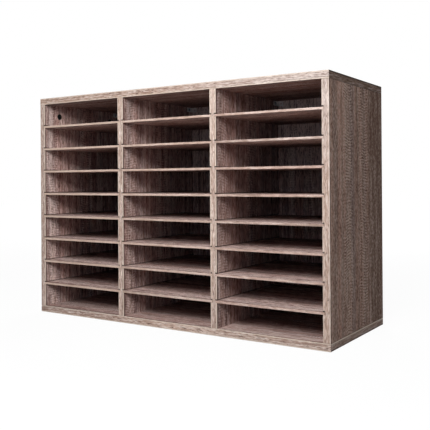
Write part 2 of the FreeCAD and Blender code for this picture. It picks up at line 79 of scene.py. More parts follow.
def add_node(tree: Tree, kind: str, inputs: dict | None = None, **settings: object) -> bpy.types.Node:
    """Add a node with its settings, values and links.

    Args:
        tree: node tree that takes the node.
        kind: the node type's name after ShaderNode.
        inputs: a value or an output socket for each input, by name or number.
        settings: the node's own properties.

    Returns:
        The new node.
    """
    node = tree.nodes.new("ShaderNode" + kind)
    for name, value in settings.items():
        setattr(node, name, value)
    for key, value in (inputs or {}).items():
        if isinstance(value, Socket):
            tree.links.new(value, node.inputs[key])
        else:
            node.inputs[key].default_value = value
    return node


def new_material(name: str) -> tuple[Material, Tree]:
    """Start a material with an empty node tree.

    Args:
        name: what the real material is and how its surface was made.

    Returns:
        The material and its node tree.
    """
    material = bpy.data.materials.new(name)
    material.use_nodes = True
    material.node_tree.nodes.clear()
    return material, material.node_tree


def dress(node: bpy.types.Object, material: Material) -> None:
    """Put one material in every slot of an object.

    Args:
        node: the object.
        material: its new finish.
    """
    if not node.material_slots:
        node.data.materials.append(material)
    for slot in node.material_slots:
        slot.material = material


def add_surface(tree: Tree, height: Socket, depth: float, strength: float, sockets: dict) -> None:
    """Add a surface with a bump, and the material's output.

    Args:
        tree: the material's node tree.
        height: the bump's height.
        depth: how deep the bump is, in metres.
        strength: how much of it shows.
        sockets: the shader's other inputs.
    """
    bump = add_node(tree, "Bump", {"Height": height, "Distance": depth, "Strength": strength})
    shader = add_node(tree, "BsdfPrincipled", {**sockets, "Normal": bump.outputs[0]})
    add_node(tree, "OutputMaterial", {0: shader.outputs[0]})


def front_of(name: str) -> float:
    """Return where a piece's front is, in millimetres from its middle."""
    low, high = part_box(name)
    return (low.y - high.y) / 2 / MM


class Lay(Enum):
    """The object directions that run along a piece's grain and across it."""

    UPRIGHT_FACE = ((0, 0, 1), (0, 1, 0))
    LYING_FACE = ((1, 0, 0), (0, 1, 0))
    BACK_FACE = ((0, 0, 1), (1, 0, 0))
    LYING_EDGE = ((1, 0, 0), (0, 0, 1))
    BOARD_END = ((0, 1, 0), (0, 0, 1))

    def axes(self) -> Matrix:
        """Return along, across and through as the columns of a turn."""
        along, across = (Vector(direction) for direction in self.value)
        return Matrix((along, across, along.cross(across))).transposed()

    def sizes(self, size: Vector) -> Vector:
        """Return a box's size along, across and through."""
        return Vector([abs(value) for value in self.axes().transposed() @ size])


def place_on(tree: Tree, lay: Lay, centre: Vector) -> Socket:
    """Measure millimetres along, across and through a piece from its centre.

    Args:
        tree: the material's node tree.
        lay: which object axis runs which way.
        centre: the middle of the piece, in metres.

    Returns:
        The place as a vector.
    """
    whole = {
        "Vector": add_node(tree, "TexCoord").outputs["Object"],
        "Location": centre,
        "Rotation": lay.axes().to_euler(),
        "Scale": (MM, MM, MM),
    }
    return add_node(tree, "Mapping", whole, vector_type="TEXTURE").outputs[0]


class Way(Enum):
    """Which of a piece's own directions a stripe is placed along."""

    ALONG = 0
    ACROSS = 1
    THROUGH = 2


@dataclass(frozen=True)
class Streaks:
    """A layer of soft streaks that lie along the grain, with sizes in millimetres."""

    length: float
    width: float
    low: float = 0.3
    high: float = 0.7
    detail: float = 1.0

    def add(self, tree: Tree, place: Socket, seed: float) -> Socket:
        """Add the layer's nodes.

        Args:
            tree: the material's node tree.
            place: millimetres along, across and through.
            seed: moves the pattern to another part of the noise.

        Returns:
            A factor from 0 to 1.
        """
        scale = (1 / self.length, 1 / self.width, 1 / self.width)
        start = [seed * share for share in SEED_MOVE]
        moved = {"Vector": place, "Location": start, "Scale": scale}
        stretched = add_node(tree, "Mapping", moved)
        pattern = {"Vector": stretched.outputs[0], "Scale": 1.0, "Detail": self.detail}
        noise = add_node(tree, "TexNoise", pattern)
        spread = {VALUE: noise.outputs[0], FROM_LOW: self.low, FROM_HIGH: self.high}
        return add_node(tree, "MapRange", spread).outputs[0]


@dataclass(frozen=True)
class Stripe:
    """A straight soft-edged stripe at a known place on a piece, in millimetres from its middle.

    It is a band of the print or of painted light, a pale arris with a painted highlight, or the
    painted shadow in a joint. A joint's shadow is under half a millimetre wide, and is drawn as wide as it
    needs to show in the render.

    Attributes:
        way: the direction that its place is measured in.
        at: where its middle is.
        width: how wide it is to where it has faded out.
        colour: the colour that it lays over the print.
        strength: how much of the print it hides.
        soft: the share of its half width over which it fades.
        mirrored: whether it is repeated on the piece's other half.
        every: the distance at which it repeats, or nothing for one stripe.
        only: another stripe that it stays within.
    """

    way: Way
    at: float
    width: float
    colour: str = "#FFFFFF"
    strength: float = 1.0
    soft: float = 0.6
    mirrored: bool = False
    every: float = 0.0
    only: "Stripe | None" = None

    def share(self, tree: Tree, place: Socket) -> Socket:
        """Work out how much of the stripe shows at a place.

        Args:
            tree: the material's node tree.
            place: millimetres along, across and through.

        Returns:
            A factor from 0 to the stripe's strength.
        """
        position = add_node(tree, "SeparateXYZ", {0: place}).outputs[self.way.value]
        if self.mirrored:
            position = add_node(tree, "Math", {0: position}, operation="ABSOLUTE").outputs[0]
        beside = add_node(tree, "Math", {0: position, 1: self.at}, operation="SUBTRACT").outputs[0]
        if self.every:
            turns = {0: beside, 1: self.every / 2, 2: -self.every / 2}
            beside = add_node(tree, "Math", turns, operation="WRAP").outputs[0]
        away = add_node(tree, "Math", {0: beside}, operation="ABSOLUTE").outputs[0]
        half = self.width / 2
        edges = {VALUE: away, FROM_LOW: half, FROM_HIGH: half * (1 - self.soft), TO_HIGH: self.strength}
        share = add_node(tree, "MapRange", edges, interpolation_type="SMOOTHSTEP").outputs[0]
        if self.only:
            within = {0: share, 1: self.only.share(tree, place)}
            share = add_node(tree, "Math", within, operation="MULTIPLY").outputs[0]
        return share

    def paint(self, tree: Tree, place: Socket, colour: Socket) -> Socket:
        """Lay the stripe over a colour and return the result."""
        inputs = {MIX_SHARE: self.share(tree, place), COLOUR_A: colour, COLOUR_B: linear(self.colour)}
        return add_node(tree, "Mix", inputs, data_type="RGBA").outputs[COLOUR_OUT]


@dataclass(frozen=True)
class Layer:
    """One layer of the print: its streaks, and how much they lighten or darken it."""

    streaks: Streaks
    strength: float


@dataclass(frozen=True)
class OakPrint:
    """The printer's pattern of weathered oak, as it differs from piece to piece.

    Attributes:
        layers: streaks from broad to fine.
        lightness: how light the whole print is drawn.
        ripple: strength of the rows of slanted saw ripples.
        ripple_columns: places of the rows across the piece; they scatter when there are none.
        bands: broad stripes that wander with the grain.
        seams: straight lines at joints and arrises.
    """

    layers: tuple[Layer, ...]
    lightness: float = 1.0
    ripple: float = 0.0
    ripple_columns: tuple[Stripe, ...] = ()
    bands: tuple[Stripe, ...] = ()
    seams: tuple[Stripe, ...] = ()


def layers(*rows: tuple[float, float, float]) -> tuple[Layer, ...]:
    """Make layers from rows of their streaks' length and width and their strength."""
    return tuple(Layer(Streaks(length, width), strength) for length, width, strength in rows)


FACE_PRINT = OakPrint(
    layers((480, 15, 0.30), (130, 9, 0.24), (240, 5, 0.30), (34, 4.2, 0.45), (12, 2.0, 0.60)),
    ripple=0.5,
)
OUTER_PRINT = replace(FACE_PRINT, layers=FACE_PRINT.layers + layers((6, 5, 0.55)), ripple=0.7)
SHELF_PRINT = OakPrint(
    layers((480, 15, 0.30), (150, 9, 0.30), (90, 5, 0.50), (26, 4.2, 0.60), (12, 2.4, 0.65)),
    ripple=0.2,
)
UPRIGHT_EDGE_PRINT = OakPrint(layers((120, 7, 0.14), (36, 2.4, 0.50), (13, 1.6, 0.68)))
LYING_EDGE_PRINT = OakPrint(layers((150, 6, 0.16), (50, 2.8, 0.50), (15, 2.0, 0.66)))
END_PRINT = OakPrint(layers((140, 5, 0.30), (30, 3.0, 0.60)))


@dataclass(frozen=True)
class PrintedOak:
    """Weathered oak printed on paper and pressed in melamine resin on an embossed plate.

    It gives the eye a dry grey-brown board with pinkish and bluish streaks, short dark
    pores, and rows of small slanted saw ripples, all under a low sheen. The saw ripples
    and the pores are finer on real boards, and are drawn as coarse as they need to show.

    Attributes:
        ground_at: where the ground tone lies between the cool tone, at 0, and the pale, at 1.
        warm_at: where the warm tone lies between them.
        full_swing: how far the layers swing before the shade or the glint covers the tone.
        drift_reach: how many millimetres the grain wanders to each side.
        ripple_pitch: millimetres from one saw ripple to the next.
        ripple_lean: how many ripples the rows lean by.
        dark_dash: how dark a ripple's shadow is beside its light.
        hollow_rougher: what the emboss's hollows add to the roughness.
        ridge_smoother: what its ridges take from the roughness.
    """

    cool: str = "#957F7C"
    ground: str = "#AC9189"
    warm: str = "#B8958C"
    pale: str = "#C6AEA5"
    shade: str = "#6C4D47"
    glint: str = "#DDCBC4"
    pore: str = "#5C463F"
    ground_at: float = 0.35
    warm_at: float = 0.70
    full_swing: float = 0.6
    tones: Streaks = Streaks(length=900, width=26, detail=2.0)
    pores: Streaks = Streaks(length=9, width=0.9, low=0.60, high=0.68)
    drift: Streaks = Streaks(length=300, width=80, low=0.0, high=1.0)
    drift_reach: float = 9.0
    ripple_pitch: float = 6.3
    ripple_lean: float = 3.2
    dark_dash: float = -0.6
    leans: Streaks = Streaks(length=260, width=42, low=0.0, high=1.0, detail=0.0)
    jitter: Streaks = Streaks(length=9, width=8, low=0.0, high=1.0)
    loose_columns: Streaks = Streaks(length=420, width=34, low=0.48, high=0.62)
    patches: Streaks = Streaks(length=34, width=9, low=0.40, high=0.60)
    roughness: float = 0.75
    hollow_rougher: float = 0.1
    ridge_smoother: float = 0.06
    resin_ior: float = 1.5
    resin_shine: float = 0.1
    bump_depth: float = 0.12 * MM
    bump_strength: float = 0.6

    def wander(self, tree: Tree, place: Socket, seed: float) -> Socket:
        """Let the grain wander sideways by a few millimetres along the board.

        Args:
            tree: the material's node tree.
            place: millimetres along, across and through.
            seed: sets this piece apart from the others.

        Returns:
            The place, shifted across the piece.
        """
        drift = self.drift.add(tree, place, seed)
        reach = {VALUE: drift, TO_LOW: -self.drift_reach, TO_HIGH: self.drift_reach}
        sideways = add_node(tree, "MapRange", reach)
        shift = add_node(tree, "CombineXYZ", {Way.ACROSS.value: sideways.outputs[0]})
        return add_node(tree, "VectorMath", {0: place, 1: shift.outputs[0]}, operation="ADD").outputs[0]

    def ripples(self, tree: Tree, place: Socket, seed: float, columns: tuple[Stripe, ...]) -> Socket:
        """Add the saw ripples: short slanted dashes in columns, like rows of small carets.

        Args:
            tree: the material's node tree.
            place: millimetres along, across and through.
            seed: sets this piece apart from the others.
            columns: where the columns are; they scatter when there are none.

        Returns:
            A value from under 0, a dark dash, to 1, a light one.
        """
        lean = self.leans.add(tree, place, seed)
        jitter = self.jitter.add(tree, place, seed + JITTER_STEP)
        along = add_node(tree, "SeparateXYZ", {0: place}).outputs[Way.ALONG.value]
        spaced = {0: along, 1: 1 / self.ripple_pitch, 2: jitter}
        turns = add_node(tree, "Math", spaced, operation="MULTIPLY_ADD").outputs[0]
        leaned = {0: lean, 1: self.ripple_lean, 2: turns}
        phase = add_node(tree, "Math", leaned, operation="MULTIPLY_ADD").outputs[0]
        angle = add_node(tree, "Math", {0: phase, 1: 2 * math.pi}, operation="MULTIPLY").outputs[0]
        swell = add_node(tree, "Math", {0: angle}, operation="SINE").outputs[0]
        dashes = {VALUE: swell, FROM_LOW: -1.0, FROM_HIGH: 1.0, TO_LOW: self.dark_dash}
        wave = add_node(tree, "MapRange", dashes).outputs[0]
        shares = [column.share(tree, place) for column in columns]
        if not shares:
            shares = [self.loose_columns.add(tree, place, seed + LOOSE_STEP)]
        column = shares[0]
        for share in shares[1:]:
            column = add_node(tree, "Math", {0: column, 1: share}, operation="MAXIMUM").outputs[0]
        patches = self.patches.add(tree, place, seed + PATCH_STEP)
        kept = add_node(tree, "Math", {0: column, 1: patches}, operation="MULTIPLY").outputs[0]
        return add_node(tree, "Math", {0: wave, 1: kept}, operation="MULTIPLY").outputs[0]

    def tone(self, tree: Tree, grain: Socket, seed: float) -> Socket:
        """Blend the print's four tones in long soft areas.

        Args:
            tree: the material's node tree.
            grain: the wandering place on the piece.
            seed: sets this piece apart from the others.

        Returns:
            The colour under the streaks.
        """
        ramp = add_node(tree, "ValToRGB", {0: self.tones.add(tree, grain, seed)})
        stops = ramp.color_ramp.elements
        stops[0].color = linear(self.cool)
        stops[1].color = linear(self.pale)
        stops.new(self.ground_at).color = linear(self.ground)
        stops.new(self.warm_at).color = linear(self.warm)
        return ramp.outputs[0]

    def print_colour(
        self, tree: Tree, place: Socket, seed: float, pattern: OakPrint
    ) -> tuple[Socket, Socket]:
        """Add the print's colour and its relief.

        Args:
            tree: the material's node tree.
            place: millimetres along, across and through.
            seed: sets this piece apart from the others.
            pattern: the print's layers, ripples and stripes.

        Returns:
            The colour, and a height from -1 to 1.
        """
        grain = self.wander(tree, place, seed)
        colour = self.tone(tree, grain, seed)
        for band in pattern.bands:
            colour = band.paint(tree, grain, colour)
        swing = -sum(layer.strength for layer in pattern.layers) / 2
        for number, layer in enumerate(pattern.layers):
            factor = layer.streaks.add(tree, grain, seed + LAYER_STEP + number)
            raised = {0: factor, 1: layer.strength, 2: swing}
            swing = add_node(tree, "Math", raised, operation="MULTIPLY_ADD").outputs[0]
        if pattern.ripple:
            dashes = self.ripples(tree, place, seed + RIPPLE_STEP, pattern.ripple_columns)
            raised = {0: dashes, 1: pattern.ripple, 2: swing}
            swing = add_node(tree, "Math", raised, operation="MULTIPLY_ADD").outputs[0]
        for cover, end in ((self.shade, -self.full_swing), (self.glint, self.full_swing)):
            share = add_node(tree, "MapRange", {VALUE: swing, FROM_LOW: 0.0, FROM_HIGH: end}).outputs[0]
            inputs = {MIX_SHARE: share, COLOUR_A: colour, COLOUR_B: linear(cover)}
            colour = add_node(tree, "Mix", inputs, data_type="RGBA").outputs[COLOUR_OUT]
        light = {0: colour, "Scale": pattern.lightness}
        colour = add_node(tree, "VectorMath", light, operation="SCALE").outputs[0]
        pores = self.pores.add(tree, grain, seed + PORE_STEP)
        inputs = {MIX_SHARE: pores, COLOUR_A: colour, COLOUR_B: linear(self.pore)}
        colour = add_node(tree, "Mix", inputs, data_type="RGBA").outputs[COLOUR_OUT]
        relief = add_node(tree, "Math", {0: factor, 1: pores}, operation="SUBTRACT").outputs[0]
        for seam in pattern.seams:
            colour = seam.paint(tree, place, colour)
        return colour, relief

    def finish(self, tree: Tree, colour: Socket, relief: Socket) -> None:
        """Add the resin's surface.

        Args:
            tree: the material's node tree.
            colour: what is printed under the resin.
            relief: the emboss's height, from -1 to 1.
        """
        sheen = add_node(tree, "MapRange", {
            VALUE: relief, FROM_LOW: -1.0, FROM_HIGH: 1.0,
            TO_LOW: self.roughness + self.hollow_rougher,
            TO_HIGH: self.roughness - self.ridge_smoother,
        })
        add_surface(tree, relief, self.bump_depth, self.bump_strength, {
            "Base Color": colour,
            "Roughness": sheen.outputs[0],
            "IOR": self.resin_ior,
            "Specular IOR Level": self.resin_shine,
        })


@dataclass(frozen=True)
class Core:
    """The raw inside of a board, seen where it was sawn, grooved or drilled.

    Particle board shows glued chips a few millimetres long, and fibreboard a fine felt
    with cloudy patches.
    """

    name: str
    light: str
    dark: str
    chip: float
    cloud: float
    cloudiness: float = 0.25
    specks: Streaks = Streaks(length=1.6, width=0.8)
    speck_seed: float = 2.0
    cloud_seed: float = 6.0

    def colour(self, tree: Tree, place: Socket) -> Socket:
        """Colour the chips or the felt.

        Args:
            tree: the material's node tree.
            place: millimetres along, across and through.

        Returns:
            The colour.
        """
        chips = add_node(tree, "TexVoronoi", {"Vector": place, "Scale": 1 / self.chip})
        specks = self.specks.add(tree, place, self.speck_seed)
        clouds = Streaks(length=self.cloud, width=self.cloud, detail=3.0).add(tree, place, self.cloud_seed)
        grit = add_node(tree, "Math", {0: chips.outputs["Color"], 1: specks}, operation="MULTIPLY")
        mottle = {0: clouds, 1: self.cloudiness, 2: grit.outputs[0]}
        tone = add_node(tree, "Math", mottle, operation="MULTIPLY_ADD")
        inputs = {MIX_SHARE: tone.outputs[0], COLOUR_A: linear(self.light), COLOUR_B: linear(self.dark)}
        return add_node(tree, "Mix", inputs, data_type="RGBA").outputs[COLOUR_OUT]


PARTICLE_BOARD = Core("particle_board", light="#CDB28A", dark="#86694C", chip=3.4, cloud=6.0)
FIBREBOARD = Core("fibreboard", light="#94745A", dark="#6E533E", chip=0.9, cloud=16.0)


@dataclass(frozen=True)
class BoardFinish:
    """A board pressed between two sheets of the oak print, with its raw core between them."""

    oak: PrintedOak
    core: Core
    lay: Lay
    pattern: OakPrint = FACE_PRINT
    printed_front_edge: bool = False
    printed_back: bool = True
    print_depth: float = 0.15

    def build(self, name: str, seed: float) -> Material:
        """Build the material for one board.

        Args:
            name: the board's name.
            seed: sets this board's print apart.

        Returns:
            The material.
        """
        material, tree = new_material(f"melamine_oak_print_on_{self.core.name}_{name}")
        low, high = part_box(name)
        place = place_on(tree, self.lay, (low + high) / 2)
        colour, relief = self.oak.print_colour(tree, place, seed, self.pattern)
        size = self.lay.sizes(high - low) / MM
        axes = add_node(tree, "SeparateXYZ", {0: place})
        depth = axes.outputs[Way.THROUGH.value]
        inside = size.z / 2 - self.print_depth
        if self.printed_back:
            depth = add_node(tree, "Math", {0: depth}, operation="ABSOLUTE").outputs[0]
            cut = add_node(tree, "Math", {0: depth, 1: inside}, operation="LESS_THAN").outputs[0]
        else:
            cut = add_node(tree, "Math", {0: depth, 1: -inside}, operation="GREATER_THAN").outputs[0]
        if self.printed_front_edge:
            edge = {0: axes.outputs[Way.ACROSS.value], 1: self.print_depth - size.y / 2}
            behind = add_node(tree, "Math", edge, operation="GREATER_THAN").outputs[0]
            cut = add_node(tree, "Math", {0: cut, 1: behind}, operation="MULTIPLY").outputs[0]
        raw = self.core.colour(tree, place)
        inputs = {MIX_SHARE: cut, COLOUR_A: colour, COLOUR_B: raw}
        seen = add_node(tree, "Mix", inputs, data_type="RGBA")
        self.oak.finish(tree, seen.outputs[COLOUR_OUT], relief)
        return material


@dataclass(frozen=True)
class EdgingFinish:
    """Thin plastic edging, printed like the board, with its arrises drawn pale: their trimmed edge and a
    painted highlight.
    """

    oak: PrintedOak
    lay: Lay
    pattern: OakPrint = UPRIGHT_EDGE_PRINT
    end_pattern: OakPrint | None = None
    end_oak: PrintedOak | None = None
    strip: float = 0.8

    def build(self, name: str, seed: float) -> Material:
        """Build the material for one board's edging.

        Args:
            name: the edging's name.
            seed: sets this edging's print apart.

        Returns:
            The material.
        """
        material, tree = new_material(f"plastic_edging_oak_print_{name}")
        low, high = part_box(name)
        centre = (low + high) / 2
        place = place_on(tree, self.lay, centre)
        colour, relief = self.oak.print_colour(tree, place, seed, self.pattern)
        if self.end_pattern:
            place_on_end = place_on(tree, Lay.BOARD_END, centre)
            end_seed = seed + END_STEP
            end_colour, _ = self.end_oak.print_colour(tree, place_on_end, end_seed, self.end_pattern)
            behind = add_node(tree, "SeparateXYZ", {0: place_on_end}).outputs[Way.ALONG.value]
            front_strip = (low.y - centre.y) / MM + self.strip
            on_end = add_node(tree, "Math", {0: behind, 1: front_strip}, operation="GREATER_THAN")
            inputs = {MIX_SHARE: on_end.outputs[0], COLOUR_A: colour, COLOUR_B: end_colour}
            colour = add_node(tree, "Mix", inputs, data_type="RGBA").outputs[COLOUR_OUT]
        self.oak.finish(tree, colour, relief)
        return material


FACE_OAK = PrintedOak()
OUTER_OAK = PrintedOak(
    cool="#9C8478", ground="#AE9080", warm="#BB9583", pale="#C3A897", shade="#6C4F43", glint="#CDB5A6",
    roughness=0.85, resin_shine=0.03,
)
EDGING_OAK = PrintedOak(
    cool="#A0897D", ground="#B79D90", warm="#BEA190", pale="#CDB6A9", shade="#7C6357", glint="#E6D9D0",
    roughness=0.55, resin_shine=0.35,
)
LYING_EDGING_OAK = replace(EDGING_OAK, roughness=0.85, resin_shine=0.03)
TOP_END_OAK = PrintedOak(
    cool="#8A7466", ground="#9C8170", warm="#A88974", pale="#B39684", shade="#4F3F36"
)


@dataclass
class Cabinet:
    """The fixed boards, the back panel and the edging on their front edges and ends.

    Sizes are in millimetres. A row is one shelf's groove, counted from the lowest. A
    stripe's place is counted from the middle of its board.

    Attributes:
        joint_rise: how far above a groove's top the shadow over a shelf is drawn.
        mouth_rise: how far above a groove's gap the painted shadow at its mouth is drawn.
        arris_inset: how far inside a board's edge its pale arris, partly a painted highlight, is drawn.
        board_lightness: how light each board's print is drawn, lighter on the left uprights; the top
            board's is lower, which paints shade on its underside.
        edge_lightness: how light the print of each board's edging is.
        glare: how strongly painted glare, a paler colour for the light's highlight, covers the upper end
            of an edging.
        inner_columns: the inner faces' ripple columns, as place behind the front, and width.
        outer_columns: the sides' outer ripple columns, as place and width.
        outer_bands: the outer faces' bands, as place, width, colour and strength.
    """

    board: float = 16.0
    height: float = 550.0
    rows: int = 8
    row_pitch: float = 57.5
    lowest_shelf: float = 71.25
    shelf_thickness: float = 5.0
    groove_height: float = 5.8
    joint_rise: float = 0.6
    mouth_rise: float = 1.0
    arris_inset: float = 0.7
    lying_boards: tuple[str, ...] = ("top_board", "bottom_board")
    sides: tuple[str, ...] = ("left_side", "right_side")
    dividers: tuple[str, ...] = ("left_divider", "right_divider")
    seed_pitch: float = 3.1
    edging_seed: float = 1.3
    back_seed: float = 41.0
    board_lightness: dict[str, float] = field(default_factory=lambda: {
        "left_side": 1.25, "left_divider": 1.10, "right_divider": 1.00, "right_side": 1.22,
        "top_board": 0.80, "bottom_board": 0.95,
    })
    edge_lightness: dict[str, float] = field(default_factory=lambda: {
        "left_side": 1.18, "left_divider": 1.12, "right_divider": 1.05, "right_side": 0.92,
        "top_board": 0.94, "bottom_board": 1.08,
    })
    glare: dict[str, float] = field(default_factory=lambda: {"right_divider": 0.25, "right_side": 0.6})
    inner_columns: Rows = ((26, 64), (150, 70))
    outer_columns: Rows = ((-57, 66), (32, 72))
    outer_bands: Rows = (
        (-104, 24, "#C49A88", 0.7),
        (-130, 20, "#8C756B", 0.4),
        (-30, 30, "#8A7976", 0.5),
        # Partly the print's dark band, partly painted shade: the outer face darker over its rear half
        (112, 130, "#7D6659", 0.85),
        (-1, 5, "#6B5A52", 0.7),
    )

    def within_rows(self, only: Stripe) -> Stripe:
        """Keep a repeated seam to the height of the shelves.

        Args:
            only: the stripe that the seam stays within.

        Returns:
            A stripe that covers the shelves' height within it.
        """
        lowest = self.lowest_shelf - self.height / 2
        highest = lowest + (self.rows - 1) * self.row_pitch
        reach = highest - lowest + self.row_pitch / 2
        return Stripe(Way.ALONG, at=(lowest + highest) / 2, width=reach, soft=0.01, only=only)

    def inner_face(self, name: str) -> Stripe:
        """Say which face or faces of an upright look into the openings.

        Args:
            name: the upright's name.

        Returns:
            A stripe that covers them.
        """
        half = self.board / 2
        if name in self.dividers:
            return Stripe(Way.THROUGH, at=half, width=half, mirrored=True)
        inward = half if name == "right_side" else -half
        return Stripe(Way.THROUGH, at=inward, width=half)

    def front_seam(self, front: float) -> Stripe:
        """Draw the dark line where a board's face meets its front edging."""
        return Stripe(Way.ACROSS, at=front + 1.2, width=5.0, colour="#57423C", strength=0.8)

    def upright_print(self, name: str) -> OakPrint:
        """Place an upright's pale streak, partly painted light, its ripples, and the painted shadows at
        its joints.

        Args:
            name: the upright's name.

        Returns:
            The print of its faces.
        """
        front = front_of(name)
        inner = self.inner_face(name)
        groove_top = self.lowest_shelf + self.groove_height - self.height / 2
        # Painted shadow on the inner faces just above each shelf, where it meets the groove
        painted_shelf_shadow = Stripe(
            Way.ALONG, at=groove_top + self.joint_rise, width=3.2, colour="#3A2D29", strength=0.7,
            every=self.row_pitch, only=self.within_rows(inner),
        )
        columns = tuple(
            Stripe(Way.ACROSS, front + at, width, strength=0.6, only=inner)
            for at, width in self.inner_columns
        )
        bands = (
            # A pale streak near the front of the inner faces: partly the print's pale streaks, partly
            # painted light where the light falls into the openings
            Stripe(Way.ACROSS, at=front + 22, width=16, colour="#D0BFB4", strength=0.3, only=inner),
        )
        seams = (painted_shelf_shadow, self.front_seam(front))
        if name in self.sides:
            outer = replace(inner, at=-inner.at)
            columns += tuple(Stripe(Way.ACROSS, *row, only=outer) for row in self.outer_columns)
            bands += tuple(Stripe(Way.ACROSS, *row, only=outer) for row in self.outer_bands)
            end = Stripe(
                Way.ALONG, at=self.height / 2 - self.board, width=3.4, colour=JOINT_SHADOW,
                strength=0.45, mirrored=True, only=outer,
            )
            rear = Stripe(
                Way.ACROSS, at=-front, width=6.0, colour=JOINT_SHADOW, strength=0.7, only=outer
            )
            seams += (end, rear)
        whole = OUTER_PRINT if name == "right_side" else FACE_PRINT
        lightness = self.board_lightness[name]
        return replace(whole, lightness=lightness, ripple_columns=columns, bands=bands, seams=seams)

    def lying_print(self, name: str) -> OakPrint:
        """Give a lying board the plain print and the seam behind its front edging."""
        seams = (self.front_seam(front_of(name)),)
        return replace(FACE_PRINT, lightness=self.board_lightness[name], seams=seams)

    def upright_edge_print(self, name: str) -> OakPrint:
        """Draw an upright's front edge: pale arrises, painted glare, and painted shadow at its groove
        mouths and joints.

        Args:
            name: the upright's name.

        Returns:
            The print of its front edging.
        """
        half = self.board / 2
        # The pale arrises: the edging's trimmed edge, with a painted highlight where it catches the light
        arris = Stripe(
            Way.ACROSS, at=half - self.arris_inset, width=4.4, colour=PALE_ARRIS_AND_HIGHLIGHT, strength=0.65,
            mirrored=True,
        )
        mouth_side = Stripe(Way.ACROSS, at=half, width=9.4, soft=0.15, mirrored=True)
        seams = (arris,)
        if name == "left_side":
            mouth_side = replace(mouth_side, mirrored=False)
            # The left side's edging drawn darker along its outer arris
            outer_arris_darker = Stripe(Way.ACROSS, at=-half, width=5.0, colour="#8B776A", strength=0.6)
            seams = (replace(arris, mirrored=False), outer_arris_darker)
        if name == "right_side":
            mouth_side = replace(mouth_side, at=-half, mirrored=False)
            seams = (replace(arris, strength=0.35),)
        gap = self.lowest_shelf + (self.shelf_thickness + self.groove_height) / 2 - self.height / 2
        # Painted shadow in the gap above each shelf, at each groove's mouth
        mouths = Stripe(
            Way.ALONG, at=gap + self.mouth_rise, width=4.4, colour="#2A1F1C",
            every=self.row_pitch, only=self.within_rows(mouth_side),
        )
        # Painted shadow in the joint with the lying boards, at each end of the edging
        end = self.height / 2 - self.board
        strength = 0.6 if name == "right_side" else 0.25
        joint = Stripe(Way.ALONG, at=end, width=3.6, colour="#7A685C", strength=strength, mirrored=True)
        # Painted glare: the edging paler towards its upper end, as the light's highlight
        paler = Stripe(Way.ALONG, at=self.height / 2, width=self.height, colour="#CFC1BA", soft=1.0)
        bands = (replace(paler, strength=self.glare[name]),) if name in self.glare else ()
        lightness = self.edge_lightness[name]
        return replace(
            UPRIGHT_EDGE_PRINT, lightness=lightness, bands=bands, seams=seams + (mouths, joint)
        )

    def lying_edge_print(self, name: str) -> OakPrint:
        """Draw the pale arrises of a lying board's front edge, with painted glare towards the top board's
        right end and a darker band towards the bottom board's.

        Args:
            name: the board's name.

        Returns:
            The print of its front edging.
        """
        # The pale arrises: the edging's trimmed edge, with a painted highlight where it catches the light
        arris = Stripe(
            Way.ACROSS, at=self.board / 2 - self.arris_inset, width=4.0, colour=PALE_ARRIS_AND_HIGHLIGHT,
            strength=0.6, mirrored=True,
        )
        # Painted glare: the top board's edging paler towards its right end, as the light's highlight
        band = Stripe(Way.ALONG, at=400, width=900, colour="#CDC2BC", strength=0.6, soft=1.0)
        if name == "bottom_board":
            band = Stripe(Way.ALONG, at=330, width=560, colour="#9B8478", strength=0.55)
        lightness = self.edge_lightness[name]
        return replace(LYING_EDGE_PRINT, lightness=lightness, bands=(band,), seams=(arris,))

    def board_end_print(self, name: str) -> OakPrint:
        """Draw the arrises of a lying board's end.

        Args:
            name: the edging's name.

        Returns:
            The print of its end strips: dark on top at the top board, and pale on top at the bottom one, a
                painted highlight where the light from above catches its arris.
        """
        half = self.board / 2
        corner = Stripe(Way.ALONG, at=front_of(name), width=5.0, colour=JOINT_SHADOW, strength=0.7)
        if name == "top_board_edging":
            lightness = 1.06
            upper = Stripe(Way.ACROSS, at=half, width=7.0, colour="#30261F", strength=0.9)
            lower = Stripe(Way.ACROSS, at=-half, width=3.0, colour=JOINT_SHADOW, strength=0.35)
        else:
            lightness = 1.15
            # Painted highlight along the upper arris, where the light from above catches it
            upper = Stripe(Way.ACROSS, at=half - 1.2, width=4.4, colour="#F8E6D4")
            lower = Stripe(Way.ACROSS, at=-half, width=8.0, colour="#55463C", strength=0.7)
        return replace(END_PRINT, lightness=lightness, seams=(upper, lower, corner))

    def dress_board(self, name: str, seed: float, board: BoardFinish, strip: EdgingFinish) -> None:
        """Give a board and its edging their finish.

        Args:
            name: the board's name.
            seed: sets this board's print apart.
            board: the board's finish.
            strip: its edging's finish.
        """
        edging = f"{name}_edging"
        dress(NODES[name], board.build(name, seed))
        dress(NODES[edging], strip.build(edging, seed + self.edging_seed))
        log.info("%s and its edging: oak print", name)

    def dress_back(self) -> None:
        """Give the back panel its finish, with painted light that makes it paler towards the top."""
        reach = 1.1 * self.height
        # Painted light: paler towards the top, where more light reaches the rear of the upper openings
        paler = Stripe(Way.ALONG, at=self.height / 2, width=reach, colour="#E6D5CC", soft=1.0)
        top_lit_print = replace(FACE_PRINT, lightness=1.1, ripple=0.3, bands=(paler,))
        back = BoardFinish(FACE_OAK, FIBREBOARD, Lay.BACK_FACE, top_lit_print, printed_back=False)
        dress(NODES["back_panel"], back.build("back_panel", self.back_seed))
        log.info("back_panel: oak print on its front, bare fibreboard behind")

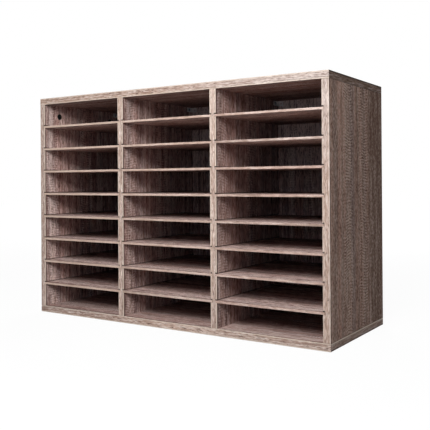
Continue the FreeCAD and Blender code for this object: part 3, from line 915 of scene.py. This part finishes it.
    def dress_all(self) -> None:
        """Give every board and edging its finish."""
        seed = 0.0
        for name in self.lying_boards:
            seed += self.seed_pitch
            board = BoardFinish(FACE_OAK, PARTICLE_BOARD, Lay.LYING_FACE, self.lying_print(name))
            front, ends = self.lying_edge_print(name), self.board_end_print(f"{name}_edging")
            end_oak = TOP_END_OAK if name == "top_board" else LYING_EDGING_OAK
            strip = EdgingFinish(LYING_EDGING_OAK, Lay.LYING_EDGE, front, ends, end_oak)
            self.dress_board(name, seed, board, strip)
        for name in self.sides + self.dividers:
            seed += self.seed_pitch
            oak = OUTER_OAK if name == "right_side" else FACE_OAK
            board = BoardFinish(oak, PARTICLE_BOARD, Lay.UPRIGHT_FACE, self.upright_print(name))
            strip = EdgingFinish(EDGING_OAK, Lay.BACK_FACE, self.upright_edge_print(name))
            self.dress_board(name, seed, board, strip)
        self.dress_back()


@dataclass
class Shelves:
    """The loose thin shelves, eight in each column.

    Attributes:
        edge_paleness: how pale the front edges in each column are.
        first_seed: what a shelf's seed is counted from, by column_seed and row_seed.
    """

    # How pale each column's shelf front edges are drawn, paler to the left
    edge_paleness: dict[str, float] = field(default_factory=lambda: {
        "left": 0.7, "middle": 0.5, "right": 0.35,
    })
    rows: int = 8
    first_seed: float = 60.0
    column_seed: float = 17.3
    row_seed: float = 2.9

    def shelf_print(self, name: str, paleness: float) -> OakPrint:
        """Draw the pale wrapped front edge, and the paler band behind it that paints the light falling on
        the shelf's front.

        Args:
            name: the shelf's name.
            paleness: how pale its front edge is.

        Returns:
            The shelf's print.
        """
        front = front_of(name)
        edge = Stripe(Way.ACROSS, at=front, width=3.0, soft=0.4, colour="#D5BDAA", strength=paleness)
        # Painted light: the shelf top paler just behind its front edge, where the light falls on it
        band = Stripe(Way.ACROSS, at=front + 28, width=50, colour="#D6BEB6", strength=0.6)
        return replace(SHELF_PRINT, bands=(band,), seams=(edge,))

    def dress_all(self) -> None:
        """Give each shelf its own piece of the print."""
        for number, (column, paleness) in enumerate(self.edge_paleness.items()):
            for row in range(1, self.rows + 1):
                name = f"{column}_shelf_{row}"
                pattern = self.shelf_print(name, paleness)
                finish = BoardFinish(
                    FACE_OAK, FIBREBOARD, Lay.LYING_FACE, pattern, printed_front_edge=True
                )
                seed = self.first_seed + self.column_seed * number + self.row_seed * row
                dress(NODES[name], finish.build(name, seed))
                log.info("%s: oak print", name)


@dataclass(frozen=True)
class ZincFinish:
    """Zinc on a fitting: plated on steel and passivated blue, or die-cast and blackened.

    It gives the eye a blue-grey metal, a little cloudy, with a soft wide shine.

    Attributes:
        swing: how far the clouds in the zinc change the roughness.
    """

    metal: str = "zinc_plated_steel"
    pale: str = "#B4BCC3"
    dark: str = "#969EA5"
    roughness: float = 0.6
    swing: float = 0.08
    metallic: float = 1.0
    clouds: Streaks = Streaks(length=3.0, width=3.0, detail=3.0)
    cloud_seed: float = 4.0
    grain: Streaks = Streaks(length=0.5, width=0.5)
    grain_seed: float = 7.0
    bump_depth: float = 0.02 * MM
    bump_strength: float = 0.5

    def build(self, name: str) -> Material:
        """Build the metal for one kind of fitting.

        Args:
            name: the fitting's name.

        Returns:
            The material.
        """
        material, tree = new_material(f"{self.metal}_{name}")
        place = place_on(tree, Lay.LYING_FACE, Vector())
        cloud = self.clouds.add(tree, place, self.cloud_seed)
        grain = self.grain.add(tree, place, self.grain_seed)
        inputs = {MIX_SHARE: cloud, COLOUR_A: linear(self.dark), COLOUR_B: linear(self.pale)}
        colour = add_node(tree, "Mix", inputs, data_type="RGBA").outputs[COLOUR_OUT]
        low, high = self.roughness - self.swing, self.roughness + self.swing
        rough = add_node(tree, "MapRange", {VALUE: cloud, TO_LOW: low, TO_HIGH: high})
        sockets = {"Base Color": colour, "Metallic": self.metallic, "Roughness": rough.outputs[0]}
        add_surface(tree, grain, self.bump_depth, self.bump_strength, sockets)
        return material


@dataclass(frozen=True)
class Beech:
    """Beech rod, turned and cut to dowels: pale, with short brown ray flecks along it."""

    ground: str = "#D2AE84"
    fleck: str = "#9F7448"
    roughness: float = 0.6
    flecks: Streaks = Streaks(length=3.0, width=0.4, low=0.52, high=0.64)
    fleck_seed: float = 5.0
    bump_depth: float = 0.05 * MM
    bump_strength: float = 0.5

    def build(self) -> Material:
        """Build the beech of the upright dowels.

        Returns:
            The material.
        """
        material, tree = new_material("beech_dowel_rod_turned")
        place = place_on(tree, Lay.BACK_FACE, Vector())
        flecks = self.flecks.add(tree, place, self.fleck_seed)
        inputs = {MIX_SHARE: flecks, COLOUR_A: linear(self.ground), COLOUR_B: linear(self.fleck)}
        colour = add_node(tree, "Mix", inputs, data_type="RGBA").outputs[COLOUR_OUT]
        sockets = {"Base Color": colour, "Roughness": self.roughness}
        add_surface(tree, flecks, self.bump_depth, self.bump_strength, sockets)
        return material


@dataclass
class Fittings:
    """The cam locks and their bolts, the dowels, the screws and the corner brackets."""

    plated: tuple[str, ...] = ("cam_bolts", "base_screws", "bracket_screws")

    def dress_all(self) -> None:
        """Give each kind of fitting its metal or wood."""
        for name in self.plated:
            dress(NODES[name], ZincFinish().build(name))
            log.info("%s: zinc-plated steel", name)
        # The brackets' plating is drawn pale and only a little metallic: partly its own pale colour,
        # partly a painted reflection of the lit front
        sheet = ZincFinish(pale="#EFEAE6", dark="#D9D3CF", roughness=0.5, metallic=0.3)
        dress(NODES["wall_brackets"], sheet.build("wall_brackets"))
        log.info("wall_brackets: zinc-plated steel sheet")
        blackened = ZincFinish("die_cast_zinc_blackened", "#3E4545", "#262B2C", roughness=0.55)
        dress(NODES["cam_locks"], blackened.build("cam_locks"))
        log.info("cam_locks: blackened die-cast zinc")
        dress(NODES["wooden_dowels"], Beech().build())
        log.info("wooden_dowels: beech")


@dataclass(frozen=True)
class Softbox:
    """One square studio lamp: where it hangs, its side in metres and its power in watts."""

    name: str
    place: tuple[float, float, float]
    side: float
    power: float
    colour: str = "#FFFFFF"


@dataclass
class Studio:
    """A white floor and surround, a key softbox, and weaker ones low in front, beside and behind.

    Attributes:
        fill: how strongly the surround lights the object.
        floor_paper: the floor's colour as the object's light meets it.
        floor_shade: the part of the floor's white that a shadow takes away.
        floor_glow: how white the floor shows under the object.
        glow_from: how far out the floor starts to turn whiter, in metres, up to glow_to.
    """

    floor_side: float = 14.0
    light_aim: tuple[float, float, float] = (0.0, 0.0, 0.25)
    softboxes: tuple[Softbox, ...] = (
        Softbox("key_softbox", place=(0.52, -1.5, 1.15), side=0.75, power=35.5),
        Softbox("low_softbox", place=(0.95, -1.75, 0.46), side=0.3, power=1.25, colour="#E4ECFF"),
        Softbox("side_softbox", place=(2.6, 0.1, 0.9), side=1.0, power=3.6),
        Softbox("rear_softbox", place=(-0.8, 2.1, 1.6), side=1.2, power=34.0),
    )
    fill: float = 0.051
    fill_colour: str = "#B0D0FF"
    floor_paper: str = "#6E6E6E"
    floor_shade: str = "#404040"
    floor_glow: float = 0.95
    glow_from: float = 1.0
    glow_to: float = 3.5

    def seen_directly(self, tree: Tree) -> Socket:
        """Tell the rays that show a surface itself or its reflection from those that light.

        Args:
            tree: the node tree of the floor or the world.

        Returns:
            A factor that is 1 for camera, glossy and transmission rays.
        """
        rays = add_node(tree, "LightPath")
        glossy = {0: rays.outputs["Is Camera Ray"], 1: rays.outputs["Is Glossy Ray"]}
        either = add_node(tree, "Math", glossy, operation="MAXIMUM")
        through = {0: either.outputs[0], 1: rays.outputs["Is Transmission Ray"]}
        return add_node(tree, "Math", through, operation="MAXIMUM").outputs[0]

    def floor_material(self) -> Material:
        """Build the floor's paper, white where it is seen, with a faint shadow on it.

        Returns:
            The material.
        """
        material, tree = new_material("studio_paper_rolled_matt")
        paper = add_node(tree, "BsdfDiffuse", {"Color": linear(self.floor_paper)})
        shade = add_node(tree, "BsdfDiffuse", {"Color": linear(self.floor_shade)})
        place = add_node(tree, "TexCoord").outputs["Object"]
        away = add_node(tree, "VectorMath", {0: place}, operation="LENGTH").outputs["Value"]
        rise = {
            VALUE: away, FROM_LOW: self.glow_from, FROM_HIGH: self.glow_to,
            TO_LOW: self.floor_glow, TO_HIGH: 1.0,
        }
        strength = add_node(tree, "MapRange", rise, interpolation_type="SMOOTHSTEP")
        glow = add_node(tree, "Emission", {"Strength": strength.outputs[0]})
        seen = add_node(tree, "AddShader", {0: glow.outputs[0], 1: shade.outputs[0]})
        inputs = {0: self.seen_directly(tree), 1: paper.outputs[0], 2: seen.outputs[0]}
        both = add_node(tree, "MixShader", inputs)
        add_node(tree, "OutputMaterial", {0: both.outputs[0]})
        return material

    def build_floor(self) -> None:
        """Lay the floor."""
        mesh = bpy.data.meshes.new("studio_floor")
        shape = bmesh.new()
        bmesh.ops.create_grid(shape, x_segments=1, y_segments=1, size=self.floor_side / 2)
        shape.to_mesh(mesh)
        shape.free()
        floor = bpy.data.objects.new("studio_floor", mesh)
        bpy.context.scene.collection.objects.link(floor)
        dress(floor, self.floor_material())

    def build_surround(self) -> None:
        """Make the world white where it is seen and dim where it lights."""
        world = bpy.data.worlds.new("studio_surround")
        world.use_nodes = True
        tree = world.node_tree
        tree.nodes.clear()
        fill = add_node(tree, "Background", {"Color": linear(self.fill_colour), "Strength": self.fill})
        seen = add_node(tree, "Background", {"Color": linear("#FFFFFF"), "Strength": 1.0})
        inputs = {0: self.seen_directly(tree), 1: fill.outputs[0], 2: seen.outputs[0]}
        both = add_node(tree, "MixShader", inputs)
        add_node(tree, "OutputWorld", {0: both.outputs[0]})
        bpy.context.scene.world = world

    def hang(self, softbox: Softbox) -> None:
        """Hang one softbox and aim it at the object.

        Args:
            softbox: the lamp's place, size, power and colour.
        """
        lamp = bpy.data.lights.new(softbox.name, "AREA")
        lamp.shape = "SQUARE"
        lamp.size = softbox.side
        lamp.energy = softbox.power
        lamp.color = linear(softbox.colour)[:3]
        box = bpy.data.objects.new(softbox.name, lamp)
        place, aim = Vector(softbox.place), Vector(self.light_aim)
        turn = (aim - place).to_track_quat("-Z", "Y").to_matrix().to_4x4()
        box.matrix_world = Matrix.Translation(place) @ turn
        bpy.context.scene.collection.objects.link(box)
        log.info("%s hung", softbox.name)

    def build(self) -> None:
        """Build the whole studio."""
        self.build_floor()
        self.build_surround()
        for softbox in self.softboxes:
            self.hang(softbox)
        bpy.context.scene.view_settings.view_transform = "Standard"


@dataclass
class ViewCamera:
    """The photograph's view: a short telephoto, level with the middle of the object.

    Attributes:
        focal_pixels: the focal length, counted in the picture's pixels.
        centre_row: the picture's row that the lens points at.
    """

    place: tuple[float, float, float] = (0.93311, -1.37168, 0.33568)
    azimuth: float = math.radians(33.102)
    pitch: float = math.radians(-0.079)
    roll: float = math.radians(-0.383)
    focal_pixels: float = 675.76
    centre_row: float = 179.54
    picture_side: float = 430.0
    sensor: float = 36.0

    def build(self) -> None:
        """Make the camera and set it as the scene's own."""
        data = bpy.data.cameras.new("view")
        data.sensor_width = self.sensor
        data.lens = self.focal_pixels / self.picture_side * self.sensor
        data.shift_y = (self.centre_row - self.picture_side / 2) / self.picture_side
        data.dof.use_dof = False
        camera = bpy.data.objects.new("view", data)
        turn = (
            Matrix.Rotation(self.azimuth, 4, "Z")
            @ Matrix.Rotation(math.pi / 2 - self.pitch, 4, "X")
            @ Matrix.Rotation(self.roll, 4, "Z")
        )
        camera.matrix_world = Matrix.Translation(self.place) @ turn
        bpy.context.scene.collection.objects.link(camera)
        bpy.context.scene.camera = camera
        log.info("camera set")


def main() -> None:
    """Dress every piece, then build the studio and the camera."""
    logging.basicConfig(level=logging.INFO, format="%(message)s")
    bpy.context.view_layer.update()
    Cabinet().dress_all()
    Shelves().dress_all()
    Fittings().dress_all()
    Studio().build()
    ViewCamera().build()


if __name__ == "__main__":
    main()
